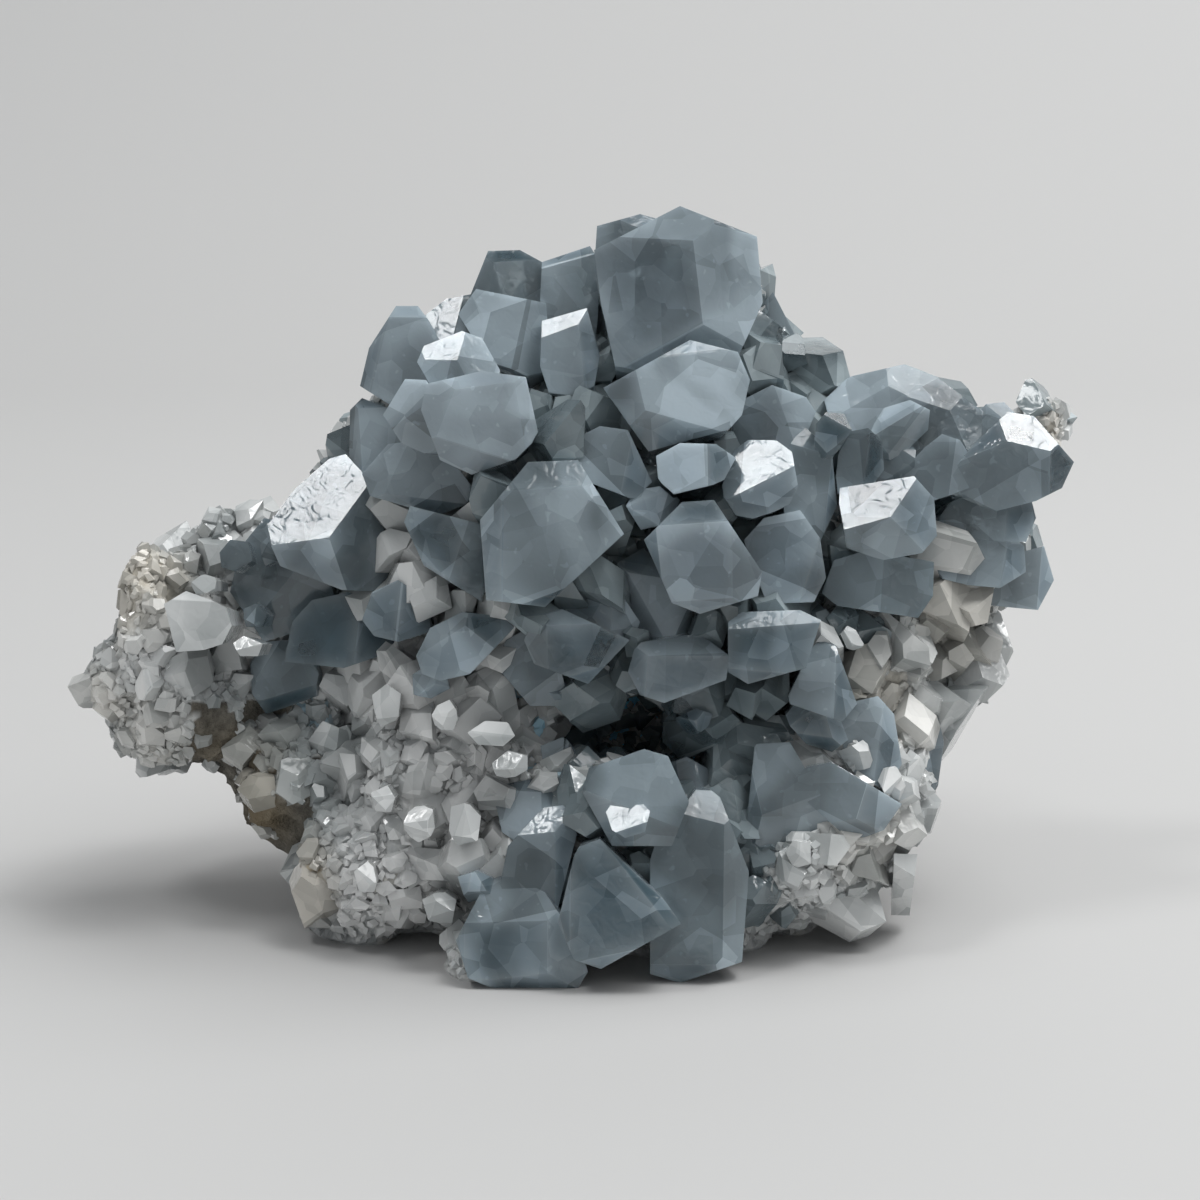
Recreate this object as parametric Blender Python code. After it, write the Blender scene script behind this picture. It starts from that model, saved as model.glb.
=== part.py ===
"""A celestite cluster broken from a geode: blue-grey crystals on a lump of pale matrix rock.

Metres, +Z up. The origin is on the flat that the cluster rests on, and the crystals face -Y.
The crystals are laid out as they are seen from the front, in the pixels of that view, and `seen` turns
a pixel and a depth into a point of the real size.
"""

import math
import random
from collections import namedtuple

import bmesh
import bpy
from mathutils import Matrix, Vector
from mathutils.bvhtree import BVHTree

# The front view: a 90 mm cluster fills 990 pixels of it, and it looks down a little
MM = 0.001
CLUSTER_WIDTH = 90 * MM
CLUSTER_PIXELS = 990
PIXEL = CLUSTER_WIDTH / CLUSTER_PIXELS
VIEW_CENTRE = 600
VIEW_DISTANCE = 260 * MM
VIEW_DIP = math.radians(12)
# The middle of the view, placed so that the middle of the cluster's box comes over the origin
VIEW_MIDDLE = Vector((1.71 * MM, -2.89 * MM, 29.4 * MM))
BEHIND = -80

# Crystals: straight sides behind the outline, then a root that narrows and leans to the cluster's middle
GAP = 0.25 * MM
FRONT_REACH = 9
WAIST = 2.5
ROOT_LENGTH = 13
ROOT_SHARE = 0.66
SHORT_ROOT = 9
ROOT_SHRINK = 0.58
ROOT_GATHER = 0.09
GATHER_AT = (610, 640)
FACET_REACH = 0.8
STEEPEST = 55
BLOCK = 45 * MM

# Corners cut off a small crystal's front: how many, how deep as a share of its width, and how slanted
CORNERS = 3
CORNER_DEPTH = (0.13, 0.2)
CORNER_SLANT = (0.7, 1.1)

# Blocky crystals on the back
BLOCK_SINK = 0.45
BLOCK_STAND = 0.8
BLOCK_TAPER = 0.7

# Matrix rock
VOXEL = 1.0 * MM
BALL_DETAIL = 4
ROCK_FACES = 880
ROCK_SWELL = 4.2 * MM
ROCK_SWELL_SIZE = 6.5 * MM
ROCK_GRIT = 1.6 * MM
ROCK_GRIT_SIZE = 2.4 * MM

# Mesh cleaning
ALMOST_ZERO = 1e-7
CLEAN_DISTANCE = 0.02 * MM
CLEAN_ANGLE = math.radians(0.5)
MERGE = 0.0004 * MM
FLAT = math.radians(0.3)

# Colour and roughness
CRYSTAL_LOOK = ((0.34, 0.41, 0.47, 1), 0.12)
ROCK_LOOK = ((0.46, 0.43, 0.37, 1), 0.85)

Crystal = namedtuple("Crystal", "name near rim facets root", defaults=((0, 0, ROOT_LENGTH),))
Crystal.__doc__ = """One crystal as it is seen from the front.

near is how far its face stands towards the viewer from the middle of the cluster, in millimetres.
rim is its outline in pixels, in order. facets are (across, down, turn, tilt): a pixel on the facet, and
the degrees that it faces right and up. root is the (across, down) shift of its far end in pixels, and
its length in millimetres.
"""

Lump = namedtuple("Lump", "across down near wide tall deep")
Lump.__doc__ = """A swelling of the rock, or a hollow in it.

across and down are the pixel at its middle, and near is how near that is, in millimetres. wide, tall
and deep are its half sizes, in millimetres.
"""

CROWN = (
    Crystal("peak", 8, [(594, 250), (680, 206), (758, 237), (764, 300), (740, 353), (612, 330)],
            [(648, 285, -12, -3), (722, 290, 30, 2), (672, 226, -8, 42), (735, 232, 38, 40),
             (700, 345, 10, -38)], (-20, 60, 18)),
    Crystal("peak_left", 1, [(597, 226), (640, 214), (658, 219), (668, 245), (640, 275), (594, 270)],
            [(618, 240, -15, 18), (640, 222, 5, 48)], (0, 50, 12)),
    Crystal("peak_right", -5, [(750, 320), (773, 292), (796, 337), (770, 374), (748, 372)],
            [(776, 334, 38, 4), (760, 330, -30, 6)], (-30, 50, 14)),
    Crystal("under_peak", 12, [(603, 388), (690, 340), (738, 352), (750, 380), (742, 415), (640, 440)],
            [(690, 398, 6, 8), (628, 400, -34, -2), (690, 352, 0, 46), (668, 432, -6, -32)], (0, 20, 16)),
    Crystal("back_tooth", 1, [(742, 345), (778, 388), (764, 404), (744, 402), (736, 372)],
            [(758, 385, 24, 8)], (-10, 20, 12)),
    Crystal("behind_right", 4, [(742, 400), (772, 385), (806, 397), (816, 412), (806, 436), (770, 446),
            (742, 436)],
            [(764, 415, -8, 4), (796, 412, 24, 14)], (-20, 20, 14)),
    Crystal("saddle", 2, [(542, 262), (590, 246), (600, 262), (598, 316), (556, 322), (540, 300)],
            [(574, 284, 12, 6), (562, 256, -4, 46)], (0, 50, 12)),
    Crystal("saddle_front", 7, [(542, 321), (587, 308), (600, 356), (574, 371), (540, 366)],
            [(566, 318, -16, 27), (564, 346, -4, -4), (590, 346, 34, 0)], (0, 30, 13)),
    Crystal("second_peak", 0, [(488, 251), (520, 250), (542, 262), (540, 336), (490, 330), (466, 306)],
            [(512, 288, 4, 4), (505, 256, 0, 46), (478, 298, -38, 8)], (10, 50, 13)),
    Crystal("second_front", 5, [(458, 314), (476, 289), (546, 303), (549, 340), (520, 352), (482, 338)],
            [(500, 318, -8, 14), (535, 325, 26, 6)], (10, 30, 12)),
)

SHOULDER = (
    Crystal("spire", 3, [(360, 386), (369, 348), (396, 306), (418, 306), (430, 322), (428, 350),
            (404, 384), (380, 396)],
            [(374, 352, -52, 12), (410, 345, -6, 4), (405, 312, -4, 52)], (30, 30, 14)),
    Crystal("lens", -2, [(424, 316), (446, 299), (482, 292), (480, 322), (446, 332), (426, 328)],
            [(446, 310, -16, 26), (468, 306, 8, 22)], (10, 40, 10)),
    Crystal("twin", 10, [(417, 362), (424, 346), (462, 331), (482, 338), (500, 370), (486, 380),
            (440, 380)],
            [(474, 358, 14, 22), (456, 350, -15, 28), (430, 353, -36, 16), (440, 370, -16, 8)],
            (0, 30, 12)),
    Crystal("pale", 14, [(421, 410), (426, 384), (482, 371), (526, 377), (538, 432), (518, 452),
            (462, 470), (440, 460)],
            [(484, 424, 2, 2), (440, 402, -26, 12), (470, 380, -4, 40), (525, 410, 30, 6),
             (455, 455, -12, -36)], (0, 10, 18)),
    Crystal("pale_left", 12, [(383, 415), (405, 379), (426, 380), (430, 442), (402, 444)],
            [(404, 405, -30, 14), (412, 432, -12, -14)], (20, 10, 14)),
    Crystal("column", 3, [(350, 410), (362, 398), (388, 408), (404, 440), (388, 470), (362, 486),
            (349, 474)],
            [(355, 450, -56, 0), (380, 432, -8, 6), (370, 405, -10, 44)], (30, 10, 14)),
    Crystal("apron", 9, [(362, 474), (388, 444), (420, 440), (446, 452), (470, 484), (462, 502),
            (432, 514), (370, 496)],
            [(424, 478, 4, -2), (384, 468, -28, 12), (420, 506, -2, -40)], (10, 0, 14)),
)

HEART = (
    Crystal("heart", 17, [(480, 520), (528, 462), (578, 460), (624, 534), (545, 607), (486, 600)],
            [(556, 542, 5, -4), (491, 560, -48, -2), (552, 474, 2, 34), (602, 500, 34, 18),
             (590, 582, 22, -40)], (0, -10, 20)),
    Crystal("heart_left", 12, [(404, 522), (410, 506), (482, 524), (482, 602), (424, 566)],
            [(446, 548, -10, 2), (468, 560, 14, -6)], (10, 0, 12)),
)

CENTRE = (
    Crystal("grey_mid", 12, [(552, 450), (600, 426), (628, 430), (652, 482), (636, 498), (574, 474)],
            [(604, 456, 2, 8), (634, 470, 28, 2)]),
    Crystal("grey_small", 12, [(626, 506), (634, 490), (662, 486), (680, 500), (670, 522), (640, 528)],
            [(652, 506, 4, 6)], (0, 0, 11)),
    Crystal("grey_right", 14, [(656, 456), (680, 443), (716, 444), (736, 458), (724, 480), (674, 492),
            (658, 478)],
            [(690, 466, -6, 6), (718, 464, 20, 6)]),
    Crystal("disc", 15, [(644, 540), (682, 502), (714, 500), (762, 572), (758, 596), (700, 614),
            (672, 603)],
            [(694, 556, -3, -5), (742, 566, 26, -4), (690, 512, -6, 36), (652, 556, -46, -8),
             (700, 604, 0, -40)], (0, 0, 18)),
    Crystal("glare", 13, [(722, 486), (734, 450), (748, 440), (776, 440), (792, 452), (798, 486),
            (790, 504), (760, 514), (738, 510)],
            [(764, 470, -18, 29), (762, 492, 2, -8), (766, 444, 0, 62)], (0, 10, 14)),
    Crystal("dark_right", 9, [(796, 436), (806, 428), (832, 452), (837, 506), (820, 542), (802, 530)],
            [(812, 482, 14, -4), (830, 490, 44, -6), (816, 442, 28, 42)], (-20, 10, 14)),
    Crystal("step", 10, [(744, 540), (764, 518), (800, 510), (820, 538), (826, 578), (814, 602),
            (768, 604)],
            [(782, 558, 6, 0), (812, 572, 32, -8)], (0, 0, 12)),
    Crystal("pale_green", 14, [(728, 622), (742, 612), (800, 610), (821, 620), (806, 668), (748, 684),
            (728, 672)],
            [(770, 650, 4, -4), (776, 616, 0, 40), (776, 678, 0, -44)], (0, -10, 15)),
    Crystal("wedge", 14, [(524, 640), (534, 617), (562, 609), (630, 640), (588, 684), (534, 664)],
            [(576, 646, 0, -6), (566, 614, -2, 42), (540, 648, -36, -6), (596, 674, 14, -40)],
            (0, -10, 15)),
    Crystal("hollow_lip", 11, [(562, 604), (594, 586), (624, 598), (640, 622), (632, 642), (604, 640),
            (574, 624)],
            [(592, 612, -6, 14), (622, 614, 26, 10)], (0, -10, 12)),
    Crystal("dark_flat", 8, [(618, 562), (644, 548), (692, 612), (694, 636), (652, 646), (606, 590)],
            [(648, 604, 2, 6)], (0, 0, 10)),
    Crystal("sill", 13, [(628, 672), (634, 650), (708, 640), (730, 656), (726, 680), (664, 703),
            (640, 695)],
            [(680, 668, 0, -8), (674, 646, 0, 40), (640, 672, -34, -4)], (0, -20, 14)),
    Crystal("leaf", 12, [(416, 656), (430, 628), (462, 612), (500, 616), (514, 628), (470, 674),
            (440, 681), (422, 674)],
            [(462, 650, -6, -4), (440, 634, -26, 26), (490, 628, 14, 20)], (10, -10, 13)),
    Crystal("leaf_right", 10, [(494, 664), (506, 640), (528, 628), (566, 690), (560, 706), (530, 706)],
            [(524, 668, -10, -4), (546, 692, 6, -24)], (0, -20, 12)),
)

LOWER = (
    Crystal("boulder", 17, [(582, 792), (589, 768), (644, 749), (668, 756), (689, 802), (672, 846),
            (612, 846)],
            [(622, 776, -6, 24), (664, 796, 26, 6), (604, 818, -24, -22), (655, 834, 14, -24)], (0, 0, 18)),
    Crystal("sail", 18, [(558, 922), (574, 856), (600, 846), (681, 924), (601, 969), (574, 960)],
            [(612, 905, -5, -3), (622, 958, 6, -42), (566, 900, -42, -2), (650, 880, 26, 20)],
            (0, -20, 20)),
    Crystal("tower", 15, [(650, 860), (700, 796), (720, 797), (749, 872), (742, 962), (680, 983),
            (650, 974)],
            [(690, 880, -4, -2), (734, 890, 38, -2), (706, 806, 6, 34), (690, 968, -4, -34),
             (736, 955, 26, -26)], (0, -30, 20)),
    Crystal("ledge", 19, [(606, 812), (650, 811), (645, 832), (625, 838), (612, 830)],
            [(630, 819, -16, 32), (628, 828, 0, -10)]),
    Crystal("tower_back", 9, [(668, 772), (690, 764), (718, 780), (722, 806), (700, 824), (676, 812)],
            [(698, 790, 8, 16)], (0, -10, 11)),
    Crystal("boulder_left", 9, [(553, 812), (572, 782), (592, 784), (598, 822), (584, 852), (564, 850)],
            [(574, 816, -12, 8)], (0, -10, 11)),
    Crystal("foot", 16, [(456, 940), (470, 914), (500, 904), (548, 922), (588, 972), (578, 988),
            (496, 990), (468, 978)],
            [(514, 946, -6, 0), (562, 954, 26, 0), (492, 916, -8, 40), (520, 984, 0, -40),
             (462, 950, -42, 0)], (0, -40, 18)),
    Crystal("icy", 14, [(500, 884), (508, 846), (540, 812), (566, 808), (577, 834), (556, 916),
            (536, 926), (512, 916)],
            [(536, 872, -6, 0), (566, 866, 32, 0), (532, 826, -10, 34), (530, 916, -4, -38)], (0, -10, 16)),
    Crystal("icy_top", 11, [(496, 806), (506, 784), (530, 780), (552, 792), (562, 816), (548, 840),
            (520, 845), (502, 832)],
            [(524, 812, -6, 6), (552, 812, 30, 6), (520, 786, -4, 42)], (0, 0, 12)),
)

LEFT = (
    Crystal("mirror", 7, [(264, 530), (322, 452), (340, 448), (362, 556), (342, 590), (280, 566)],
            [(316, 518, -13, 29), (318, 566, -6, -22), (278, 512, -40, 16), (334, 462, 10, 48),
             (350, 545, 38, -6)], (40, 20, 16)),
    Crystal("mirror_left", 2, [(230, 592), (240, 548), (264, 518), (286, 522), (312, 600), (296, 632),
            (264, 642)],
            [(262, 576, -18, 6), (284, 616, 6, -14), (268, 530, -10, 36)], (30, 0, 13)),
    Crystal("cave", 4, [(284, 662), (292, 622), (312, 600), (348, 592), (378, 606), (386, 632),
            (374, 658), (344, 668)],
            [(330, 632, -2, 4), (368, 630, 30, 0)], (20, 0, 12)),
    Crystal("cave_left", 1, [(250, 664), (262, 642), (286, 640), (296, 676), (290, 706), (266, 714),
            (252, 694)],
            [(270, 678, -8, 0)], (20, 0, 10)),
    Crystal("cave_right", 9, [(362, 620), (372, 592), (398, 580), (416, 600), (418, 636), (398, 642),
            (374, 636)],
            [(390, 612, -4, 4), (408, 616, 30, 0)], (10, 0, 10)),
)

RIGHT = (
    Crystal("dome", 1, [(824, 400), (848, 377), (905, 364), (938, 377), (952, 402), (940, 432),
            (832, 428)],
            [(862, 398, -22, 34), (912, 392, 14, 36), (884, 418, -4, 8)], (20, 30, 14)),
    Crystal("dome_right", 3, [(908, 394), (938, 378), (984, 412), (986, 432), (962, 442), (924, 436)],
            [(944, 402, 4, 34), (966, 420, 24, 16), (936, 424, -8, 4)], (0, 30, 12)),
    Crystal("violet", 6, [(874, 424), (884, 408), (910, 400), (930, 410), (928, 430), (906, 442),
            (886, 436)],
            [(904, 418, 2, 12)], (0, 20, 10)),
    Crystal("square", 8, [(838, 456), (846, 432), (868, 428), (882, 440), (884, 470), (862, 482),
            (840, 478)],
            [(858, 450, -6, 6), (876, 456, 30, 0)], (10, 20, 11)),
    Crystal("stud", 9, [(816, 424), (826, 412), (844, 414), (852, 430), (838, 446), (820, 444)],
            [(832, 428, -2, 10)], (10, 10, 10)),
    Crystal("round_left", 6, [(870, 452), (880, 436), (902, 434), (916, 450), (914, 474), (894, 482),
            (876, 474)],
            [(892, 456, 0, 10)], (0, 10, 10)),
    Crystal("round_right", 6, [(918, 472), (924, 448), (942, 434), (960, 440), (975, 464), (974, 486),
            (948, 496), (926, 490)],
            [(940, 460, -10, 12), (964, 468, 24, 6)], (-10, 10, 11)),
    Crystal("plate", 11, [(840, 488), (914, 476), (934, 498), (937, 536), (922, 553), (884, 560),
            (850, 548)],
            [(872, 500, -19, 29), (918, 512, 26, 0), (884, 544, -2, -28)], (0, 0, 15)),
    Crystal("shadow", 9, [(822, 592), (834, 560), (868, 550), (934, 562), (933, 596), (918, 618),
            (838, 606)],
            [(856, 582, -18, -4), (908, 586, 16, -6)], (0, 0, 12)),
    Crystal("flag", 6, [(976, 452), (1008, 412), (1034, 416), (1074, 462), (1062, 488), (1036, 501),
            (984, 476)],
            [(1014, 466, 0, -8), (1040, 438, 10, 32), (1056, 470, 38, -6), (996, 432, -16, 26)],
            (-30, 20, 14)),
    Crystal("flag_left", 2, [(976, 420), (986, 404), (1004, 402), (1016, 414), (1004, 432), (984, 434)],
            [(996, 416, 0, 20)], (-10, 20, 10)),
    Crystal("wing_upper", 5, [(962, 512), (978, 490), (1006, 482), (1030, 494), (1036, 518), (1026, 542),
            (968, 532)],
            [(990, 512, -12, 8), (1018, 512, 20, 4)], (-20, 0, 12)),
    Crystal("wing_lower", 5, [(954, 556), (972, 536), (1004, 530), (1024, 546), (1026, 572), (1000, 588),
            (968, 580)],
            [(986, 556, -6, 6), (1014, 558, 24, 0)], (-20, 0, 12)),
    Crystal("wing_tip", 2, [(1002, 586), (1014, 560), (1044, 546), (1054, 580), (1038, 610), (1012, 606)],
            [(1024, 580, 6, 4), (1044, 582, 40, 0)], (-30, 0, 12)),
)

SKIRT = (
    Crystal("slab", 11, [(756, 744), (790, 742), (850, 846), (800, 882), (746, 838)],
            [(770, 774, -8, 10), (792, 842, 0, -12), (748, 810, -44, 0)], (0, -10, 14)),
    Crystal("pawn", 12, [(790, 704), (820, 640), (836, 646), (857, 704), (842, 722)],
            [(816, 684, -10, 2), (824, 650, -18, 30), (846, 690, 34, 0)]),
    Crystal("pawn_foot", 11, [(790, 726), (804, 708), (838, 712), (848, 740), (832, 752), (806, 744)],
            [(820, 728, -4, -6)], (0, -10, 10)),
    Crystal("apron_right", 12, [(794, 790), (810, 774), (842, 768), (902, 804), (884, 830), (852, 842)],
            [(836, 792, -8, 4), (878, 806, 18, -4), (846, 832, 0, -34)], (0, -10, 13)),
    Crystal("amber", 10, [(846, 734), (852, 702), (878, 696), (894, 714), (902, 764), (886, 790),
            (856, 776)],
            [(866, 730, -10, 6), (890, 744, 30, 0)], (0, 0, 12)),
    Crystal("side_blade", 3, [(908, 716), (936, 706), (944, 742), (938, 786), (916, 826), (904, 804)],
            [(916, 756, -8, 0), (934, 760, 42, -4)], (-20, 0, 12)),
    Crystal("white_small", 10, [(852, 632), (862, 620), (874, 626), (884, 646), (876, 657), (860, 652)],
            [(866, 638, 2, 10)], (0, 0, 8)),
)

POCKET_RIM = (
    Crystal("olive", 9, [(530, 748), (563, 735), (581, 757), (576, 782), (556, 800), (535, 782)],
            [(556, 766, -8, 4), (574, 770, 40, 0)], (0, 0, 9)),
    Crystal("hanging", 10, [(672, 722), (702, 708), (726, 716), (720, 734), (697, 748), (684, 740)],
            [(700, 728, 4, -14)], (0, 0, 9)),
    Crystal("post", 8, [(716, 732), (748, 728), (748, 760), (724, 780), (714, 760)],
            [(734, 748, -20, 0)], (0, 0, 9)),
    Crystal("brow", 10, [(518, 690), (546, 679), (578, 686), (566, 707), (540, 712)],
            [(548, 694, 0, -8)], (0, 0, 9)),
)

LOBE = (
    Crystal("lobe_face", 9, [(164, 604), (186, 591), (208, 602), (216, 626), (204, 650), (176, 652)],
            [(190, 622, -8, 8), (184, 598, -6, 40)], (0, 0, 10)),
    Crystal("lobe_glint", 10, [(205, 642), (219, 632), (247, 643), (240, 660), (216, 660)],
            [(228, 645, -12, 29), (222, 656, 0, -14)], (0, 0, 9)),
    Crystal("lobe_left", 6, [(141, 612), (158, 600), (170, 616), (170, 650), (148, 658), (138, 640)],
            [(156, 630, -32, 4)], (10, 0, 9)),
    Crystal("lobe_mid", 8, [(216, 604), (234, 597), (248, 612), (242, 630), (220, 630)],
            [(232, 614, 8, 10)], (0, 0, 9)),
    Crystal("lobe_upper", 7, [(160, 580), (176, 566), (196, 572), (196, 590), (170, 596)],
            [(178, 582, -16, 28)], (0, 0, 9)),
    Crystal("lobe_top", 4, [(192, 540), (206, 522), (232, 526), (238, 552), (214, 566), (196, 560)],
            [(214, 546, -10, 14), (214, 530, -4, 44)], (0, 10, 9)),
    Crystal("lobe_ridge", 4, [(234, 530), (250, 514), (264, 524), (262, 552), (242, 560)],
            [(250, 538, 6, 12)], (0, 10, 9)),
    Crystal("lobe_tip", 3, [(84, 690), (100, 668), (122, 664), (132, 684), (118, 708), (96, 708)],
            [(108, 686, -20, 10)], (20, 0, 9)),
)

SLOPE = (
    Crystal("slope_one", 11, [(392, 674), (414, 662), (440, 668), (446, 694), (420, 708), (396, 702)],
            [(420, 684, -8, 6)], (0, 0, 9)),
    Crystal("slope_two", 10, [(350, 696), (372, 680), (392, 694), (390, 728), (364, 740)],
            [(370, 710, -14, 4)], (0, 0, 9)),
    Crystal("slope_three", 13, [(415, 710), (440, 698), (454, 718), (446, 740), (422, 740)],
            [(434, 720, 4, 8)], (0, 0, 9)),
    Crystal("slope_four", 14, [(451, 738), (474, 722), (506, 724), (516, 742), (500, 756), (466, 754)],
            [(484, 738, -4, 6), (486, 726, 0, 36)], (0, 0, 9)),
    Crystal("slope_five", 15, [(478, 770), (500, 753), (528, 760), (528, 780), (504, 792), (484, 788)],
            [(504, 772, -6, 4)], (0, 0, 9)),
    Crystal("niche", 6, [(318, 778), (344, 768), (364, 786), (358, 814), (330, 820)],
            [(340, 795, 12, 4)], (0, 0, 9)),
    Crystal("low_one", 13, [(386, 824), (406, 808), (426, 816), (430, 848), (406, 862), (388, 850)],
            [(408, 834, -10, 6)], (0, 0, 9)),
    Crystal("low_two", 15, [(436, 812), (460, 806), (478, 826), (474, 858), (446, 866), (434, 844)],
            [(456, 836, 6, 4)], (0, 0, 9)),
    Crystal("low_three", 13, [(404, 914), (430, 900), (452, 914), (446, 946), (416, 946)],
            [(428, 924, -6, -8)], (0, 0, 9)),
    Crystal("low_four", 11, [(334, 884), (352, 870), (370, 886), (362, 912), (340, 912)],
            [(352, 892, -16, 4)], (0, 0, 9)),
    Crystal("low_five", 12, [(352, 800), (374, 790), (386, 806), (380, 826), (358, 826)],
            [(368, 808, -10, 10)], (0, 0, 9)),
    Crystal("low_six", 14, [(440, 890), (470, 880), (492, 892), (486, 916), (456, 926)],
            [(466, 902, -4, 2)], (0, 0, 9)),
    Crystal("far_apron", 8, [(866, 800), (890, 786), (910, 812), (900, 844), (872, 846)],
            [(886, 816, 22, 0)], (0, 0, 9)),
    Crystal("amber_top", 7, [(852, 662), (878, 662), (890, 684), (872, 698), (852, 690)],
            [(870, 678, 4, 8)], (0, 0, 9)),
)

GROUPS = {
    "crown": CROWN,
    "shoulder": SHOULDER,
    "heart": HEART,
    "centre": CENTRE,
    "lower": LOWER,
    "left": LEFT,
    "right": RIGHT,
    "skirt": SKIRT,
    "pocket_rim": POCKET_RIM,
    "lobe": LOBE,
    "slope": SLOPE,
}

# Crystals on the back of the rock: the pixel behind which one stands, its size in millimetres, and the
# degrees that it faces right, seen from behind, and up
BACK_SPOTS = (
    (700, 330, 11, 10, 40),
    (632, 312, 9, -15, 45),
    (700, 450, 10, 15, 10),
    (520, 390, 10, -20, 35),
    (440, 470, 8, -30, 35),
    (800, 500, 9, 20, 30),
    (890, 480, 8, 30, 40),
    (610, 540, 12, -5, 5),
    (330, 560, 8, -30, 45),
)

ROCK_LUMPS = (
    Lump(625, 432, -10, 19, 12, 13),
    Lump(690, 330, -9, 8, 8, 8),
    Lump(520, 400, -9, 10, 9, 9),
    Lump(410, 500, -8, 9, 10, 10),
    Lump(585, 640, -8, 24, 16, 15),
    Lump(610, 830, -6, 24, 15, 17),
    Lump(335, 650, -10, 12, 12, 9),
    Lump(246, 612, -8, 8, 9, 9),
    Lump(195, 700, -6, 8.5, 7, 9.5),
    Lump(155, 615, -3, 3.5, 6.5, 8),
    Lump(124, 690, -4, 3, 3.5, 6),
    Lump(240, 545, -8, 5, 3.5, 6),
    Lump(320, 780, -5, 8, 8, 9),
    Lump(385, 860, -1, 8.5, 8, 10),
    Lump(435, 790, 0, 8, 10, 9),
    Lump(500, 950, 6, 5, 5, 9),
    Lump(900, 480, -8, 10, 8, 8),
    Lump(975, 550, -6, 4.5, 7, 7),
    Lump(945, 660, -7, 4.5, 6, 7),
    Lump(1037, 436, -10, 3, 3.6, 5),
    Lump(985, 460, -11, 6, 4, 5),
    Lump(855, 640, -6, 8, 13, 12),
    Lump(845, 790, -2, 7.5, 10, 13),
    Lump(790, 850, 1, 9, 6, 11),
)

# The dark hollow under the middle crystals, and a notch at its right
POCKET_LUMPS = (
    Lump(632, 735, 4, 8.2, 3.6, 12),
    Lump(698, 762, 6, 2.6, 2.4, 8),
)


def sight():
    """The front view's directions: rightwards, upwards and towards the viewer."""
    rightwards = Vector((1, 0, 0))
    upwards = Vector((0, math.sin(VIEW_DIP), math.cos(VIEW_DIP)))
    return rightwards, upwards, rightwards.cross(upwards)


def seen(across, down, near):
    """The point that is seen at a pixel, near millimetres in front of the middle of the cluster."""
    rightwards, upwards, towards = sight()
    spread = PIXEL * (VIEW_DISTANCE - near * MM) / VIEW_DISTANCE
    point = VIEW_MIDDLE + towards * near * MM
    point += rightwards * (across - VIEW_CENTRE) * spread
    return point + upwards * (VIEW_CENTRE - down) * spread


def facing(turn, tilt):
    """The direction of a facet that faces turn degrees right of the viewer and tilt degrees up."""
    rightwards, upwards, towards = sight()
    turn, tilt = math.radians(turn), math.radians(tilt)
    level = towards * math.cos(turn) + rightwards * math.sin(turn)
    return level * math.cos(tilt) + upwards * math.sin(tilt)


def clear_scene():
    for item in list(bpy.data.objects):
        bpy.data.objects.remove(item, do_unlink=True)


def material(name, look):
    colour, roughness = look
    made = bpy.data.materials.new(name)
    made.use_nodes = True
    shader = made.node_tree.nodes["Principled BSDF"]
    shader.inputs["Base Color"].default_value = colour
    shader.inputs["Roughness"].default_value = roughness
    shader.inputs["Metallic"].default_value = 0
    return made


def new_object(name, mesh_builder):
    """An object whose mesh is a finished bmesh."""
    mesh = bpy.data.meshes.new(name)
    mesh_builder.to_mesh(mesh)
    mesh_builder.free()
    made = bpy.data.objects.new(name, mesh)
    bpy.context.collection.objects.link(made)
    return made


def copy_of(solid):
    """A bmesh that holds a solid's mesh."""
    builder = bmesh.new()
    builder.from_mesh(solid.data)
    return builder


def discard(item):
    bpy.data.objects.remove(item, do_unlink=True)


def hull(points):
    """The convex body around some points."""
    builder = bmesh.new()
    for point in points:
        builder.verts.new(point)
    bmesh.ops.convex_hull(builder, input=builder.verts)
    loose = [vertex for vertex in builder.verts if not vertex.link_faces]
    bmesh.ops.delete(builder, geom=loose, context="VERTS")
    return builder


def slice_off(builder, point, direction):
    """Cut away what lies beyond a plane, and close the cut."""
    geometry = builder.verts[:] + builder.edges[:] + builder.faces[:]
    bmesh.ops.bisect_plane(builder, geom=geometry, dist=ALMOST_ZERO, plane_co=point, plane_no=direction,
                           clear_outer=True)
    rims = [edge for edge in builder.edges if edge.is_boundary]
    bmesh.ops.holes_fill(builder, edges=rims)


def cut_at_ground(builder):
    slice_off(builder, Vector((0, 0, 0)), Vector((0, 0, -1)))


def tidy(builder):
    """Merge doubles, and make each flat facet one face."""
    bmesh.ops.remove_doubles(builder, verts=builder.verts, dist=CLEAN_DISTANCE)
    bmesh.ops.dissolve_limit(builder, angle_limit=CLEAN_ANGLE, verts=builder.verts, edges=builder.edges)
    bmesh.ops.recalc_face_normals(builder, faces=builder.faces)


def outline_body(crystal):
    """A crystal before its front is cut: its outline carried back to a narrower root."""
    across_shift, down_shift, length = crystal.root
    middle_u = sum(u for u, v in crystal.rim) / len(crystal.rim)
    middle_v = sum(v for u, v in crystal.rim) / len(crystal.rim)
    root_u = middle_u + across_shift + (GATHER_AT[0] - middle_u) * ROOT_GATHER
    root_v = middle_v + down_shift + (GATHER_AT[1] - middle_v) * ROOT_GATHER
    points = []
    for u, v in crystal.rim:
        points.append(seen(u, v, crystal.near + FRONT_REACH))
        if length > SHORT_ROOT:
            points.append(seen(u, v, crystal.near - WAIST))
        points.append(seen(root_u + (u - middle_u) * ROOT_SHRINK, root_v + (v - middle_v) * ROOT_SHRINK,
                           crystal.near - length * ROOT_SHARE))
    return hull(points)


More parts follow.
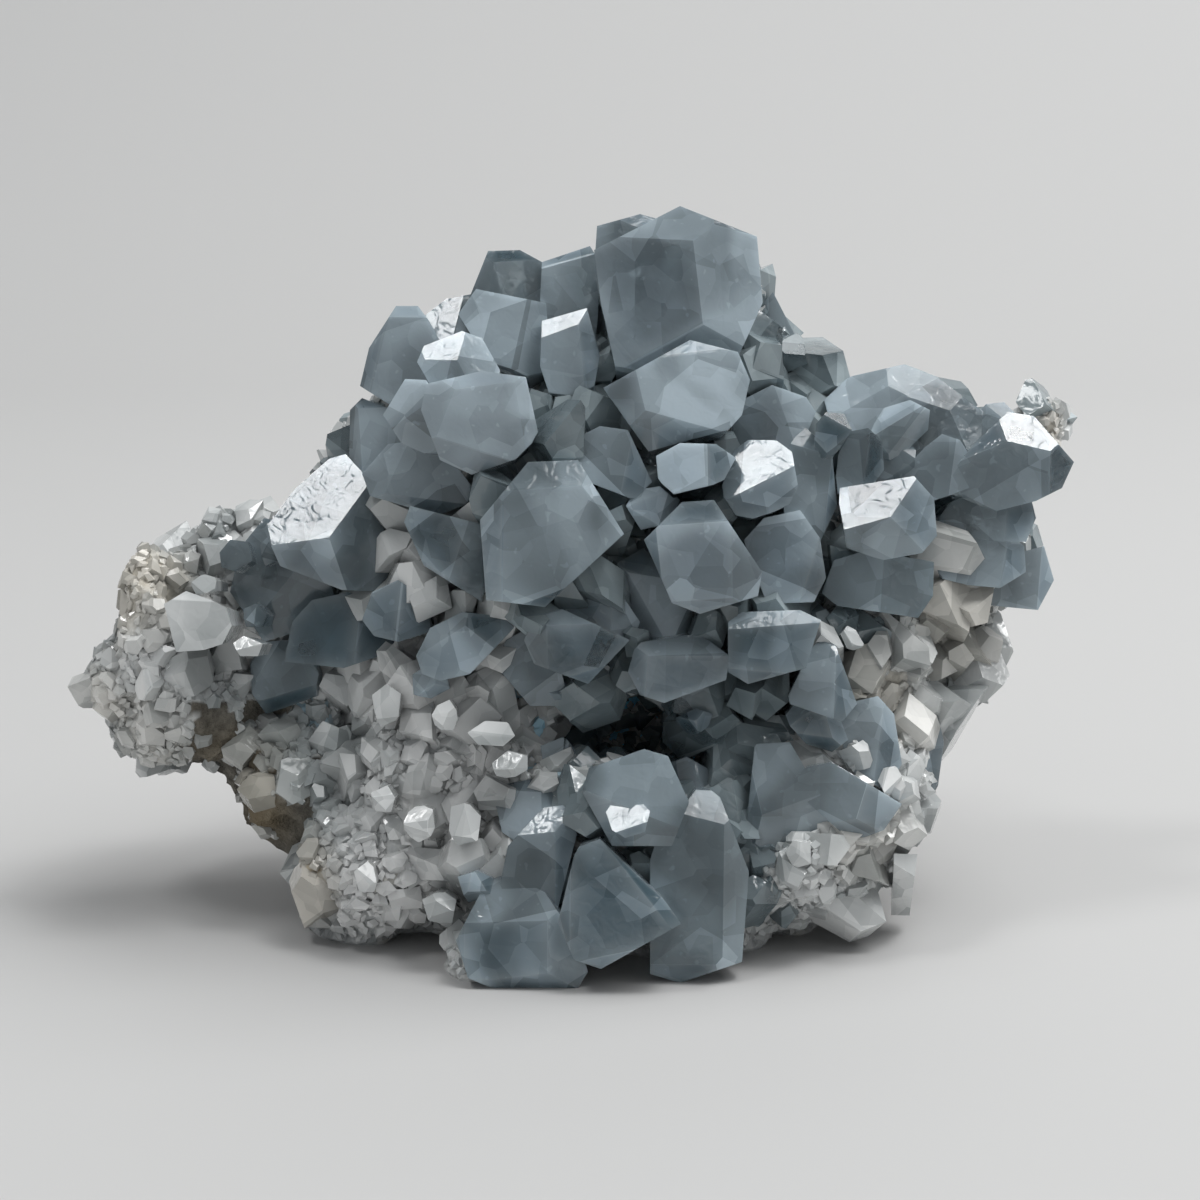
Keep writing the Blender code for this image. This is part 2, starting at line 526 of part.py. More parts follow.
def cut_corners(builder, crystal):
    """Cut a few corners off a crystal's front, so that it ends in a blunt tip."""
    rng = random.Random(crystal.name)
    width = PIXEL * (max(u for u, v in crystal.rim) - min(u for u, v in crystal.rim))
    rightwards, upwards, towards = sight()
    start = rng.uniform(0, math.tau)
    for number in range(CORNERS):
        heading = start + math.tau * (number + rng.uniform(-0.15, 0.15)) / CORNERS
        sideways = rightwards * math.cos(heading) + upwards * math.sin(heading)
        direction = (towards + sideways * rng.uniform(*CORNER_SLANT)).normalized()
        reach = max(vertex.co.dot(direction) for vertex in builder.verts)
        slice_off(builder, direction * (reach - width * rng.uniform(*CORNER_DEPTH)), direction)


def crystal_solid(crystal):
    """One crystal, its front cut by its facets."""
    builder = outline_body(crystal)
    for u, v, turn, tilt in crystal.facets:
        steepness = math.radians(min(STEEPEST, math.hypot(turn, tilt)))
        slice_off(builder, seen(u, v, crystal.near - FACET_REACH * math.tan(steepness)), facing(turn, tilt))
    if len(crystal.facets) == 1:
        cut_corners(builder, crystal)
    cut_at_ground(builder)
    tidy(builder)
    return new_object(crystal.name, builder)


def apply_modifiers(target):
    bpy.context.view_layer.update()
    shaped = target.evaluated_get(bpy.context.evaluated_depsgraph_get())
    mesh = bpy.data.meshes.new_from_object(shaped)
    target.modifiers.clear()
    target.data = mesh


def boolean(target, cutter, operation):
    change = target.modifiers.new(operation.title(), "BOOLEAN")
    change.operation = operation
    change.solver = "EXACT"
    change.object = cutter
    apply_modifiers(target)


def grown(crystal, swell):
    """A convex crystal with every facet moved outwards, cut from a block by the moved facets."""
    middle = sum((v.co for v in crystal.data.vertices), Vector()) / len(crystal.data.vertices)
    builder = bmesh.new()
    bmesh.ops.create_cube(builder, size=BLOCK, matrix=Matrix.Translation(middle))
    for face in crystal.data.polygons:
        slice_off(builder, face.center + face.normal * swell, face.normal)
    tidy(builder)
    return new_object(crystal.name + "_grown", builder)


def bodies_of(builder):
    """The separate bodies of a mesh, smallest first, as sets of vertices."""
    bodies = []
    unseen = set(builder.verts)
    while unseen:
        body = set()
        front = [unseen.pop()]
        while front:
            vertex = front.pop()
            body.add(vertex)
            for edge in vertex.link_edges:
                other = edge.other_vert(vertex)
                if other in unseen:
                    unseen.discard(other)
                    front.append(other)
        bodies.append(body)
    return sorted(bodies, key=len)


def keep_largest(solid):
    """Remove all but the largest body of a solid."""
    builder = copy_of(solid)
    for body in bodies_of(builder)[:-1]:
        bmesh.ops.delete(builder, geom=list(body), context="VERTS")
    builder.to_mesh(solid.data)
    builder.free()


def displace(target, name, size, strength):
    """Push a surface in and out by a cloud pattern."""
    texture = bpy.data.textures.new(name, "CLOUDS")
    texture.noise_scale = size
    texture.noise_depth = 1
    change = target.modifiers.new(name, "DISPLACE")
    change.texture = texture
    change.texture_coords = "LOCAL"
    change.strength = strength
    change.mid_level = 0.5


def balls(name, lumps):
    """Swellings or hollows, as loose balls in one mesh."""
    rightwards, upwards, towards = sight()
    turn = Matrix((rightwards, upwards, towards)).transposed().to_4x4()
    builder = bmesh.new()
    for lump in lumps:
        size = Matrix.Diagonal((lump.wide * MM, lump.tall * MM, lump.deep * MM, 1))
        place = Matrix.Translation(seen(lump.across, lump.down, lump.near))
        bmesh.ops.create_icosphere(builder, subdivisions=BALL_DETAIL, radius=1,
                                   matrix=place @ turn @ size)
    return new_object(name, builder)


def run_together(solid):
    """Make one even skin over overlapping shapes."""
    blend = solid.modifiers.new("Run together", "REMESH")
    blend.mode = "VOXEL"
    blend.voxel_size = VOXEL
    apply_modifiers(solid)


def rock_solid():
    """The matrix rock: swellings run together, hollowed, roughened, thinned out and cut flat below."""
    rock = balls("matrix", ROCK_LUMPS)
    pocket = balls("pocket", POCKET_LUMPS)
    run_together(rock)
    run_together(pocket)
    boolean(rock, pocket, "DIFFERENCE")
    discard(pocket)
    run_together(rock)
    displace(rock, "Swell", ROCK_SWELL_SIZE, ROCK_SWELL)
    displace(rock, "Grit", ROCK_GRIT_SIZE, ROCK_GRIT)
    apply_modifiers(rock)
    thin = rock.modifiers.new("Thin out", "DECIMATE")
    thin.ratio = ROCK_FACES / (2 * len(rock.data.polygons))
    apply_modifiers(rock)
    builder = bmesh.new()
    bmesh.ops.create_cube(builder, size=4 * BLOCK, matrix=Matrix.Translation((0, 0, -2 * BLOCK)))
    below = new_object("below", builder)
    boolean(rock, below, "DIFFERENCE")
    discard(below)
    return rock


def block(place, outwards, size, rng, name):
    """A blocky crystal with a chisel tip that stands on a surface."""
    turn = outwards.to_track_quat("Z", "Y").to_matrix()
    spin = rng.uniform(0, math.tau)
    sides = rng.choice((4, 5, 6))
    squash = rng.uniform(0.65, 1)
    points = []
    for number in range(sides):
        angle = spin + math.tau * (number + rng.uniform(-0.2, 0.2)) / sides
        side = Vector((math.cos(angle), squash * math.sin(angle), 0)) * size / 2
        points.append(place + turn @ (side * BLOCK_TAPER - Vector((0, 0, size * BLOCK_SINK))))
        points.append(place + turn @ (side + Vector((0, 0, size * BLOCK_STAND))))
    builder = hull(points)
    heading = rng.uniform(0, math.tau)
    for half_turn in (0, math.pi):
        lean = Vector((math.cos(heading + half_turn), math.sin(heading + half_turn), rng.uniform(0.7, 1.5)))
        slice_off(builder, place + turn @ Vector((0, 0, size * rng.uniform(0.35, 0.6))),
                  (turn @ lean).normalized())
    cut_at_ground(builder)
    tidy(builder)
    return new_object(name, builder)


def back_crystals(rock):
    """Large crystals on the back of the rock."""
    rng = random.Random(5)
    tree = BVHTree.FromObject(rock, bpy.context.evaluated_depsgraph_get())
    made = []
    for number, (across, down, size, turn, tilt) in enumerate(BACK_SPOTS):
        start = seen(across, down, BEHIND)
        spot = tree.ray_cast(start, (seen(across, down, 0) - start).normalized())[0]
        made.append(block(spot, facing(180 - turn, tilt), size * MM, rng, "back_%d" % (number + 1)))
    return made


def overlapping(crystals):
    """The pairs of crystals whose surfaces cross, by their numbers."""
    bpy.context.view_layer.update()
    state = bpy.context.evaluated_depsgraph_get()
    trees = [BVHTree.FromObject(crystal, state) for crystal in crystals]
    return [(first, second) for first in range(len(crystals)) for second in range(first)
            if trees[first].overlap(trees[second])]


def grown_together(crystals):
    """The crystals in clumps, where each crystal overlaps another one of its clump."""
    clump_of = list(range(len(crystals)))
    for first, second in overlapping(crystals):
        old, new = clump_of[first], clump_of[second]
        clump_of = [new if clump == old else clump for clump in clump_of]
    clumps = {}
    for number, clump in enumerate(clump_of):
        clumps.setdefault(clump, []).append(crystals[number])
    return sorted(clumps.values(), key=len, reverse=True)


def clump_name(clump, taken):
    """A lone crystal's own name, or the name of the group that most of the clump's crystals are from."""
    if len(clump) == 1:
        return clump[0].name + "_crystal"
    names = {crystal.name for crystal in clump}
    counts = {}
    for group, members in GROUPS.items():
        counts[group] = len(names & {crystal.name for crystal in members})
    group = max(counts, key=counts.get) if max(counts.values()) else "rear"
    name = group + "_crystals"
    while name in taken:
        name = "further_" + name
    return name


def join_clump(clump, name):
    """One solid from the crystals of a clump."""
    joined = new_object(name, copy_of(clump[0]))
    for crystal in clump[1:]:
        boolean(joined, crystal, "UNION")
    return joined


def keep_apart(solid, own, others):
    """Cut a gap around the crystals of the other clumps that come too close."""
    for other in others:
        if any(overlapping([other, crystal]) for crystal in own):
            boolean(solid, other, "DIFFERENCE")


def finish(solid, look):
    """Clean the solid's mesh and give it its material."""
    builder = copy_of(solid)
    bmesh.ops.remove_doubles(builder, verts=builder.verts, dist=MERGE)
    bmesh.ops.dissolve_degenerate(builder, edges=builder.edges, dist=MERGE)
    bmesh.ops.dissolve_limit(builder, angle_limit=FLAT, verts=builder.verts, edges=builder.edges)
    bmesh.ops.triangulate(builder, faces=builder.faces)
    builder.to_mesh(solid.data)
    builder.free()
    solid.data.materials.clear()
    solid.data.materials.append(material(solid.name, look))


def report(solids):
    """Print the triangles and the volume of the whole cluster."""
    triangles = sum(len(solid.data.polygons) for solid in solids)
    builder = bmesh.new()
    for solid in solids:
        builder.from_mesh(solid.data)
    corners = [vertex.co for vertex in builder.verts]
    middle = [(min(corner[axis] for corner in corners) + max(corner[axis] for corner in corners)) / 2 / MM
              for axis in (0, 1)]
    print(len(solids), "solids,", triangles, "triangles,", round(builder.calc_volume() * 1e6, 1), "cm3")
    print("middle of the box over", round(middle[0], 2), round(middle[1], 2), "mm")
    builder.free()


def build():
    clear_scene()
    rock = rock_solid()
    crystals = [crystal_solid(crystal) for group in GROUPS.values() for crystal in group]
    crystals += back_crystals(rock)
    swollen = {crystal: grown(crystal, GAP) for crystal in crystals}
    clumps = grown_together(crystals)
    solids = []
    for number, clump in enumerate(clumps):
        joined = join_clump(clump, clump_name(clump, [solid.name for solid in solids]))
        for other in clumps[:number]:
            keep_apart(joined, clump, [swollen[crystal] for crystal in other])
        keep_largest(joined)
        solids.append(joined)
    for crystal in crystals:
        boolean(rock, swollen[crystal], "DIFFERENCE")
        discard(swollen[crystal])
        discard(crystal)
    keep_largest(rock)
    for solid in solids:
        finish(solid, CRYSTAL_LOOK)
    finish(rock, ROCK_LOOK)
    report(solids + [rock])


build()
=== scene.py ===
import functools
import math
import random
from collections import namedtuple

import bmesh
import bpy
from mathutils import Matrix, Vector
from mathutils.bvhtree import BVHTree
from mathutils.kdtree import KDTree


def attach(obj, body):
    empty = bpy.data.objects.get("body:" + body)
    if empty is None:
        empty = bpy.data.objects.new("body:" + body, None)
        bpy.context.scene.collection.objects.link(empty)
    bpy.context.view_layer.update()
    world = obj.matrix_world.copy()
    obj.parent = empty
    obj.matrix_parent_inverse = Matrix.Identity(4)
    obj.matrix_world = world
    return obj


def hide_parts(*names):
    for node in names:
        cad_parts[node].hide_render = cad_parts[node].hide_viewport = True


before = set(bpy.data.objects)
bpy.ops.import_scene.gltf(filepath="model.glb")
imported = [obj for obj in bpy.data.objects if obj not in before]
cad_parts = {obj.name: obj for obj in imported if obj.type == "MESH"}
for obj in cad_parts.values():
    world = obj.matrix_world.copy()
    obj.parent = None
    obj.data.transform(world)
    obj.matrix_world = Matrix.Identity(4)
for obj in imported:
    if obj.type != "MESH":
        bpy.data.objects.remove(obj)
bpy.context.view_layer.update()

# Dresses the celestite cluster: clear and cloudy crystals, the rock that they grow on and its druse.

# The view, as the solids were laid out in it
MM = 0.001
CLUSTER_WIDTH = 90 * MM
CLUSTER_PIXELS = 990
PIXEL = CLUSTER_WIDTH / CLUSTER_PIXELS
VIEW_PIXELS = 1200
VIEW_CENTRE = 600
VIEW_DISTANCE = 260 * MM
VIEW_DIP = math.radians(12)
VIEW_MIDDLE = Vector((1.71 * MM, -2.89 * MM, 29.4 * MM))
SENSOR = 36
NEAREST_SEEN, FARTHEST_SEEN = 0.01, 20

# Crystals
EDGE_WIDTH = 0.2 * MM
EDGE_SHARE = 0.012
EDGE_SHARPNESS = math.radians(12)
EDGE_STEPS = 2
SHORTEST_EDGE = 0.7 * MM
# Small facets cut along some edges: their size, the share of the edges, and how long these have to be
FACETINGS = ((0.9 * MM, 0.16, 5 * MM), (0.45 * MM, 0.3, 2.5 * MM))
SMALL_FACET = 1.5 * MM ** 2
FLAT = math.radians(0.5)
SAME_PLACE = 0.005 * MM
CELESTITE_IOR = 1.62
CLOUD_SIZE = 9 * MM
SEAM_SIZE = 6 * MM
SHARD_SIZE = 2.2 * MM
# The crystals that look as pale as the small ones
PALE_NODES = ("amber_top", "lobe", "low_", "niche", "slope", "white_small")

# Rock
COARSE_VOXEL = 1.0 * MM
VOXEL = 0.43 * MM
SWELL = 4.2 * MM
SWELL_SIZE = 6.5 * MM
GRIT = 1.6 * MM
GRIT_SIZE = 2.4 * MM
PITTING = 0.35 * MM
PITTING_SIZE = 0.7 * MM
BALL_DETAIL = 4

# Druse and young crystals
ROCK_UNDER_DRUSE = 0.5 * MM
DRUSE_REACH = 1.2 * MM
YOUNG_COUNT = 700
YOUNG_SIZE = (2.6 * MM, 6.5 * MM)
DRUSE_COUNT = 7500
DRUSE_SIZE = (1.0 * MM, 2.7 * MM)
YOUNG_SPACING, DRUSE_SPACING = 0.55, 0.42
TRIES = 12
CLEARANCE = 0.7
COVER = 0.5 * MM
SHAPES = 24
# How many crystals are made before they join the others
HANDFUL = 60
LEAN = 0.3
STANDING = 0.75
SEED = 3

# Young crystals that fill the gaps between the large ones: where gaps are looked for, and what counts as one
GAP_LEFT, GAP_RIGHT, GAP_TOP, GAP_BOTTOM = 340, 960, 260, 900
GAP_PITCH = 14
GAP_JITTER = 4
GAP_AROUND = 3
GAP_DEPTH = 3.5 * MM
GAP_SPACING = 3 * MM
GAP_SIZE = (4 * MM, 7.5 * MM)
GAP_RISE = (0.35, 0.7)
GAP_ROOT = 3 * MM
POCKET_MARGIN = 1.3

# Where small crystals grow, in pixels of the view, and how far upwards bare rock faces at most
BARE_LEFT, BARE_RIGHT, BARE_TOP = 190, 325, 700
BARE_CORNER, BARE_SLOPE = 1000, 0.4
BARE_UPWARDS = 0.4
LOBE_LEFT, LOBE_RIGHT = 150, 240
TIP_LEFT = 985
THIN_LEFT, THIN_TOP = 860, 620
LEFT_DRUSE_END, MIDDLE_DRUSE_END = 420, 760
HIGH_BACK = 20 * MM

# The floor and wall of the stage, and the light from all round
STAGE_SIDE = 3
STAGE_BEND = 0.25
STAGE_BEND_START = 0.35
STAGE_BEND_STEPS = 24
STAGE_COLOUR = (0.615, 0.615, 0.61, 1)
STAGE_ROUGHNESS = 0.6
SKY_COLOUR = (0.80, 0.82, 0.84, 1)
SKY_STRENGTH = 0.395

Lump = namedtuple("Lump", "across down near wide tall deep")
Patch = namedtuple("Patch", "across down near reach amount")
Zone = namedtuple("Zone", "left right top")
Lamp = namedtuple("Lamp", "name turn tilt distance size power")

LAMPS = (
    Lamp("left_window", -46, 57, 0.9, 0.19, 1.15),
    Lamp("right_window", 51, 61, 0.9, 0.19, 1.2),
    Lamp("overhead", 75, 62, 0.9, 0.8, 6.4),
)

# Where the small crystals are pale
PALE_ZONES = (
    Zone(-math.inf, 250, -math.inf),
    Zone(-math.inf, 480, 480),
    Zone(-math.inf, 560, 620),
    Zone(790, math.inf, 640),
    Zone(900, math.inf, 560),
)

# How far a patch reaches beyond its middle, as a share of its size
PATCH_FADE = 1.5

# Crystals that are paler, or darker, than the rest: partly their own tone, partly painted shade that darkens
# crystals in recesses and under overhangs, and painted light that brightens shaded ones
TONE_AND_SHADE_PATCHES = (
    Patch(470, 420, 14, 5, 1.5),
    Patch(640, 375, 14, 5, 0.45),
    Patch(780, 635, 14, 5, -0.2),
    Patch(870, 420, 1, 6, 0.1),
    Patch(490, 800, 8, 6, 0.6),
    Patch(325, 640, 4, 5, -1.1),
    Patch(270, 600, 0, 4, -0.4),
    Patch(875, 590, 9, 5, -0.9),
    Patch(510, 295, 0, 5, -0.65),
    Patch(640, 735, 0, 7, -1.0),
    Patch(715, 870, 15, 6, -0.6),
    Patch(820, 470, 8, 5, -0.7),
    Patch(520, 960, 12, 6, -0.4),
    Patch(200, 620, 0, 7, 0.25),
    Patch(285, 730, 2, 5, -0.8),
    Patch(300, 810, 2, 4, -0.6),
    Patch(360, 925, 6, 6, 0.9),
    Patch(410, 690, 4, 5, 0.3),
    Patch(350, 800, 4, 7, 0.25),
    Patch(560, 540, 16, 6, -0.2),
    Patch(715, 565, 15, 4, 0.7),
    Patch(640, 790, 16, 5, -0.3),
    Patch(620, 920, 18, 6, -0.5),
    Patch(672, 290, 8, 6, 0.65),
)

# Where the rock and the druse are tan
TAN_PATCHES = (
    Patch(135, 590, 0, 5, 0.9),
    Patch(90, 700, 0, 3, 0.5),
    Patch(160, 740, 0, 5, 0.35),
    Patch(255, 770, 1, 4, 0.5),
    Patch(230, 830, 2, 5, 0.9),
    Patch(292, 880, 6, 4, 0.9),
    Patch(950, 620, 0, 5, 0.7),
    Patch(880, 700, 6, 4, 0.8),
    Patch(860, 830, 8, 4, 0.4),
    Patch(1045, 440, -8, 3, 0.8),
)

# Where the druse is painted deep blue: partly the blue of the crystals that line the hollows, partly painted
# light that lifts the shaded hollows
DEEP_BLUE_AND_LIT_PATCHES = (
    Patch(632, 735, 0, 11, 1),
    Patch(300, 690, 2, 4, 0.5),
)

ROCK_LUMPS = (
    Lump(625, 432, -10, 19, 12, 13),
    Lump(690, 330, -9, 8, 8, 8),
    Lump(520, 400, -9, 10, 9, 9),
    Lump(410, 500, -8, 9, 10, 10),
    Lump(585, 640, -8, 24, 16, 15),
    Lump(610, 830, -6, 24, 15, 17),
    Lump(335, 650, -10, 12, 12, 9),
    Lump(246, 612, -8, 8, 9, 9),
    Lump(195, 700, -6, 8.5, 7, 9.5),
    Lump(155, 615, -3, 3.5, 6.5, 8),
    Lump(124, 690, -4, 3, 3.5, 6),
    Lump(240, 545, -8, 5, 3.5, 6),
    Lump(320, 780, -5, 8, 8, 9),
    Lump(385, 860, -1, 8.5, 8, 10),
    Lump(435, 790, 0, 8, 10, 9),
    Lump(500, 950, 6, 5, 5, 9),
    Lump(900, 480, -8, 10, 8, 8),
    Lump(975, 550, -6, 4.5, 7, 7),
    Lump(945, 660, -7, 4.5, 6, 7),
    Lump(1037, 436, -10, 3, 3.6, 5),
    Lump(985, 460, -11, 6, 4, 5),
    Lump(855, 640, -6, 8, 13, 12),
    Lump(845, 790, -2, 7.5, 10, 13),
    Lump(790, 850, 1, 9, 6, 11),
)

# The dark hollow under the middle crystals, and a notch at its right
POCKET_LUMPS = (
    Lump(632, 735, 4, 8.2, 3.6, 12),
    Lump(698, 762, 6, 2.6, 2.4, 8),
)


# Places in the view

def sight():
    """The view's directions: rightwards, upwards and towards the camera."""
    rightwards = Vector((1, 0, 0))
    upwards = Vector((0, math.sin(VIEW_DIP), math.cos(VIEW_DIP)))
    return rightwards, upwards, rightwards.cross(upwards)


def seen(across, down, near):
    """The point that is seen at a pixel, near millimetres in front of the middle of the cluster."""
    rightwards, upwards, towards = sight()
    spread = PIXEL * (VIEW_DISTANCE - near * MM) / VIEW_DISTANCE
    point = VIEW_MIDDLE + towards * near * MM
    point += rightwards * (across - VIEW_CENTRE) * spread
    return point + upwards * (VIEW_CENTRE - down) * spread


def pixel_of(point):
    """The pixel at which a point is seen."""
    rightwards, upwards, towards = sight()
    away = point - VIEW_MIDDLE
    scale = VIEW_DISTANCE / (VIEW_DISTANCE - away.dot(towards)) / PIXEL
    return VIEW_CENTRE + away.dot(rightwards) * scale, VIEW_CENTRE - away.dot(upwards) * scale


def facing(turn, tilt):
    """The direction turn degrees right of the camera and tilt degrees up."""
    rightwards, upwards, towards = sight()
    turn, tilt = math.radians(turn), math.radians(tilt)
    level = towards * math.cos(turn) + rightwards * math.sin(turn)
    return level * math.cos(tilt) + upwards * math.sin(tilt)


@functools.lru_cache(maxsize=None)
def patch_place(patch):
    return seen(patch.across, patch.down, patch.near)


def patch_value(point, patches):
    """The sum of soft patches at a point: each counts in full in its middle and fades out around it."""
    total = 0
    for patch in patches:
        away = (point - patch_place(patch)).length / (patch.reach * MM)
        share = min(1, max(0, PATCH_FADE - away))
        total += patch.amount * share * share * (3 - 2 * share)
    return total


# Shader sums

# The sockets of a Mix node that mixes colours
MIX_FACTOR, MIX_FIRST, MIX_SECOND, MIX_RESULT = 0, 6, 7, 2


class Value:
    """A socket of a material that takes part in sums."""

    def __init__(self, recipe, socket):
        self.recipe = recipe
        self.socket = socket

    def sum(self, operation, *values):
        return self.recipe.node("ShaderNodeMath", {"operation": operation}, dict(enumerate(values)))

    def __add__(self, other):
        return self.sum("ADD", self, other)

    __radd__ = __add__

    def __mul__(self, other):
        return self.sum("MULTIPLY", self, other)

    __rmul__ = __mul__

    def __sub__(self, other):
        return self.sum("SUBTRACT", self, other)

    def __rsub__(self, other):
        return self.sum("SUBTRACT", other, self)

    def clamped(self):
        return self.recipe.node("ShaderNodeClamp", {}, {"Value": self})


class Recipe:
    """A material under construction."""

    def __init__(self, name):
        self.material = bpy.data.materials.new(name)
        self.material.use_nodes = True
        self.tree = self.material.node_tree
        self.tree.nodes.clear()
        self.output = self.tree.nodes.new("ShaderNodeOutputMaterial")

    def node(self, kind, settings, inputs, output=0):
        """A node's output, with the node's settings set first and then its sockets."""
        made = self.tree.nodes.new(kind)
        for name, setting in settings.items():
            if name == "stops":
                self.set_stops(made.color_ramp, setting)
            else:
                setattr(made, name, setting)
        for name, value in inputs.items():
            self.feed(made.inputs[name], value)
        return Value(self, made.outputs[output])

    def feed(self, socket, value):
        if isinstance(value, Value):
            self.tree.links.new(value.socket, socket)
        else:
            socket.default_value = value

    def set_stops(self, ramp, stops):
        while len(ramp.elements) < len(stops):
            ramp.elements.new(0.5)
        for element, (position, colour) in zip(ramp.elements, stops):
            element.position = position
            element.color = colour

    def place(self):
        """Object coordinates, in metres."""
        return self.node("ShaderNodeTexCoord", {}, {}, "Object")

    def noise(self, size, detail, roughness, distortion, place):
        """Noise from 0 to 1 with features of a size in metres."""
        inputs = {"Vector": place, "Scale": 1 / size, "Detail": detail,
                  "Roughness": roughness, "Distortion": distortion}
        return self.node("ShaderNodeTexNoise", {}, inputs, "Fac")

    def ramp(self, value, *stops):
        return self.node("ShaderNodeValToRGB", {"stops": stops}, {"Fac": value}, "Color")

    def step(self, value, low, high):
        """0 below low and 1 above high."""
        settings = {"clamp": True, "interpolation_type": "SMOOTHSTEP"}
        inputs = {"Value": value, "From Min": low, "From Max": high}
        return self.node("ShaderNodeMapRange", settings, inputs)

    def cells(self, size, place):
        """Polygons of a size in metres, each with its own value from 0 to 1."""
        inputs = {"Vector": place, "Scale": 1 / size}
        return self.node("ShaderNodeTexVoronoi", {"feature": "F1"}, inputs, "Color")

    def value(self, name):
        """A value that the mesh holds."""
        return self.node("ShaderNodeAttribute", {"attribute_name": name}, {}, "Fac")

    def blend(self, factor, first, second):
        """A colour between two colours."""
        inputs = {MIX_FACTOR: factor, MIX_FIRST: first, MIX_SECOND: second}
        return self.node("ShaderNodeMix", {"data_type": "RGBA"}, inputs, MIX_RESULT)

    def bump(self, height, depth):
        """A surface normal raised by a height from 0 to 1, depth metres at most."""
        return self.node("ShaderNodeBump", {}, {"Height": height, "Distance": depth, "Strength": 1})

    def finish(self, surface, volume=None):
        self.feed(self.output.inputs["Surface"], surface)
        if volume:
            self.feed(self.output.inputs["Volume"], volume)
        return self.material


def shade(red, green, blue):
    return (red, green, blue, 1)


# Materials

Look = namedtuple("Look", "least_cloudy most_cloudy dark light rim tan tint absorbs density glow")
Look.__doc__ = """How a kind of crystal looks.

It has the least and the most of it that is cloudy, the colours of its cloudy part, the tint of its clear
part and what that absorbs, and how far light spreads inside its cloudy part. The last two are only for
large crystals.
"""

LARGE_LOOK = Look(0.42, 0.95, shade(0.065, 0.115, 0.145), shade(0.48, 0.585, 0.66), shade(0.46, 0.53, 0.56),
                  shade(0.30, 0.30, 0.27), shade(0.94, 0.97, 0.98), shade(0.50, 0.72, 0.80), 60, 1.0 * MM)
YOUNG_LOOK = Look(0.55, 0.92, shade(0.15, 0.205, 0.23), shade(0.48, 0.56, 0.585), shade(0.45, 0.50, 0.50),
                  shade(0.45, 0.40, 0.30), shade(0.86, 0.93, 0.95), None, 0, 0)
PALE_LOOK = Look(0.60, 0.95, shade(0.55, 0.60, 0.605), shade(0.98, 0.99, 0.98), shade(0.80, 0.83, 0.83),
                 shade(0.66, 0.56, 0.40), shade(0.92, 0.96, 0.97), None, 0, 0)


def crystal_material(name, look):
    """Blue-grey crystal, partly clear and partly cloudy, paler at its rims, with fine steps on its faces."""
    recipe = Recipe(name)
    place = recipe.place()
    worn = recipe.value("worn")
    rim = recipe.value("rim")
    facet = recipe.value("facet") - 0.5
    cloud = recipe.step(recipe.noise(CLOUD_SIZE, 1, 0.5, 0.6, place), 0.34, 0.64)
    fine = recipe.noise(1.2 * MM, 1, 0.5, 1.0, place)
    broken = recipe.cells(SEAM_SIZE, place) - 0.5
    shards = recipe.cells(SHARD_SIZE, place) - 0.5
    normal = recipe.bump(recipe.noise(3 * MM, 1, 0.5, 0, place) * 0.6 + fine * 0.4, 0.12 * MM)
    thick = cloud * 0.6 + facet * 0.4 + 0.2
    cloudy = thick * (look.most_cloudy - look.least_cloudy) + look.least_cloudy
    cloudy = cloudy + broken * 0.3 + shards * 0.15 + worn * 0.2
    # Lightness of the cloudy colour: the tone value holds painted shade and painted light as well as the
    # crystals' own tone
    light = cloud * 0.35 + recipe.value("tone") * 0.6
    light = light + facet * 0.45 + broken * 0.45 + shards * 0.3 + 0.27
    glow = {}
    if look.glow:
        veil = recipe.noise(2.6 * MM, 2, 0.5, 1.2, place)
        seam = (recipe.noise(SEAM_SIZE, 1, 0.5, 0.3, place) - 0.5).sum("ABSOLUTE")
        seam = recipe.step(seam, 0.018, 0.004) * recipe.step(veil, 0.52, 0.62)
        speck = recipe.step(recipe.noise(0.8 * MM, 1, 0.5, 0, place), 0.69, 0.76)
        cloudy = cloudy + seam * 0.4 + speck * 0.15
        light = light + seam * 0.5
        glow = {"Subsurface Weight": 1, "Subsurface Radius": (1, 1, 1), "Subsurface Scale": look.glow}
    milk = recipe.blend(light.clamped(), look.dark, look.light)
    near_edge = rim * rim * rim
    milk = recipe.blend((near_edge * 0.35 + worn * 0.06).clamped(), milk, look.rim)
    milk = recipe.blend(recipe.value("tan").clamped() * 0.5, milk, look.tan)
    clear = recipe.node("ShaderNodeBsdfPrincipled", {}, {
        "Base Color": look.tint, "Roughness": worn * 0.2 + fine * 0.12, "IOR": CELESTITE_IOR,
        "Transmission Weight": 1, "Normal": normal})
    milky = recipe.node("ShaderNodeBsdfPrincipled", {"subsurface_method": "BURLEY"}, {
        "Base Color": milk, "Roughness": worn * 0.2 + fine * 0.2, "IOR": CELESTITE_IOR,
        "Normal": normal, **glow})
    surface = recipe.node("ShaderNodeMixShader", {}, {0: cloudy.clamped(), 1: clear, 2: milky})
    if not look.density:
        return recipe.finish(surface)
    volume = recipe.node("ShaderNodeVolumeAbsorption", {}, {"Color": look.absorbs, "Density": look.density})
    return recipe.finish(surface, volume)


